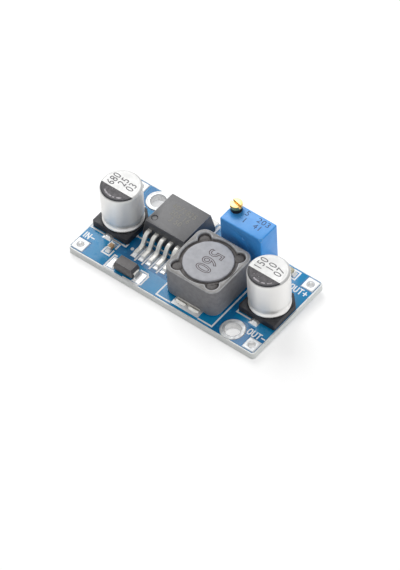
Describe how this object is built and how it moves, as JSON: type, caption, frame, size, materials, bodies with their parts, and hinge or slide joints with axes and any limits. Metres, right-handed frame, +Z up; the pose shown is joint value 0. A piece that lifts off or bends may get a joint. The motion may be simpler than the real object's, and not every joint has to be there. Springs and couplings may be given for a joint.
{
  "type": "buck converter module",
  "caption": "Small blue step-down power board with can capacitors, a tabbed regulator, a shielded inductor, a diode and a blue multi-turn trimmer.",
  "frame": {"origin": "middle between the two mounting holes, on the plane of the board's underside lands", "axes": "+X along the board from the input end to the output end, +Y from the diode's edge to the trimmer's edge, +Z up through the board"},
  "size_m": [0.0432, 0.021, 0.014],
  "materials": {
    "laminate": "glass-fibre laminate, cut edge",
    "solder_mask": "glossy blue solder mask over copper",
    "tinned_copper": "tin-coated copper",
    "white_print": "white screen print",
    "solder": "bright solder",
    "aluminium_can": "drawn aluminium, satin",
    "black_base": "moulded black plastic",
    "mould_compound": "moulded black epoxy",
    "diode_compound": "moulded dark grey epoxy",
    "ferrite": "coated grey ferrite",
    "ferrite_core": "ground grey ferrite",
    "enamelled_wire": "enamelled copper winding",
    "grey_adhesive": "cured dark adhesive",
    "tan_ceramic": "sintered tan ceramic",
    "white_ceramic": "sintered white ceramic",
    "black_ceramic": "black glazed ceramic",
    "clear_lens": "milky moulded lens",
    "blue_plastic": "moulded blue plastic",
    "brass": "turned brass",
    "seal_rubber": "moulded black rubber",
    "white_plastic": "moulded white plastic"
  },
  "bodies": {
    "root": {"circuit_board": "laminate", "solder_mask_top": "solder_mask", "solder_mask_underside": "solder_mask", "mounting_hole_rings": "tinned_copper", "input_positive_pad": "tinned_copper", "input_negative_pad": "tinned_copper", "output_positive_pad": "tinned_copper", "output_negative_pad": "tinned_copper", "component_pads": "tinned_copper", "legend_print": "white_print", "solder_joints": "solder", "input_capacitor_can": "aluminium_can", "input_capacitor_base": "black_base", "input_capacitor_front_terminal": "tinned_copper", "input_capacitor_back_terminal": "tinned_copper", "output_capacitor_can": "aluminium_can", "output_capacitor_base": "black_base", "output_capacitor_front_terminal": "tinned_copper", "output_capacitor_back_terminal": "tinned_copper", "regulator_body": "mould_compound", "regulator_tab": "tinned_copper", "regulator_lead_1": "tinned_copper", "regulator_lead_2": "tinned_copper", "regulator_lead_3": "tinned_copper", "regulator_lead_4": "tinned_copper", "regulator_lead_5": "tinned_copper", "inductor_shield": "ferrite", "inductor_core": "ferrite_core", "inductor_winding": "enamelled_wire", "inductor_adhesive": "grey_adhesive", "inductor_front_terminal": "tinned_copper", "inductor_back_terminal": "tinned_copper", "diode_body": "diode_compound", "diode_left_lead": "tinned_copper", "diode_right_lead": "tinned_copper", "ceramic_capacitor_body": "tan_ceramic", "ceramic_capacitor_ends": "tinned_copper", "feedback_resistor_body": "black_ceramic", "feedback_resistor_ends": "tinned_copper", "indicator_base": "white_ceramic", "indicator_lens": "clear_lens", "indicator_ends": "tinned_copper", "trimmer_housing": "blue_plastic", "trimmer_base": "black_base", "trimmer_element": "white_ceramic", "trimmer_pin_1": "tinned_copper", "trimmer_pin_2": "tinned_copper", "trimmer_pin_3": "tinned_copper"},
    "adjusting_screw": {"trimmer_screw": "brass", "trimmer_seal": "seal_rubber"},
    "wiper_carriage": {"trimmer_carriage": "white_plastic", "trimmer_contact": "brass"}
  },
  "joints": [
    {"name": "screw_turn", "type": "hinge", "parent": "root", "child": "adjusting_screw", "pos_m": [0.00345, 0.00838, 0.0093], "axis": [0, 0, 1], "range_deg": [-4320, 4320]},
    {"name": "carriage_travel", "type": "slide", "parent": "root", "child": "wiper_carriage", "axis": [0, 0, 1], "range_m": [-0.00239, 0.00239]}
  ],
  "couplings": [
    {"joint": "screw_turn", "follows": "carriage_travel", "rad_per_m": 31416}
  ]
}
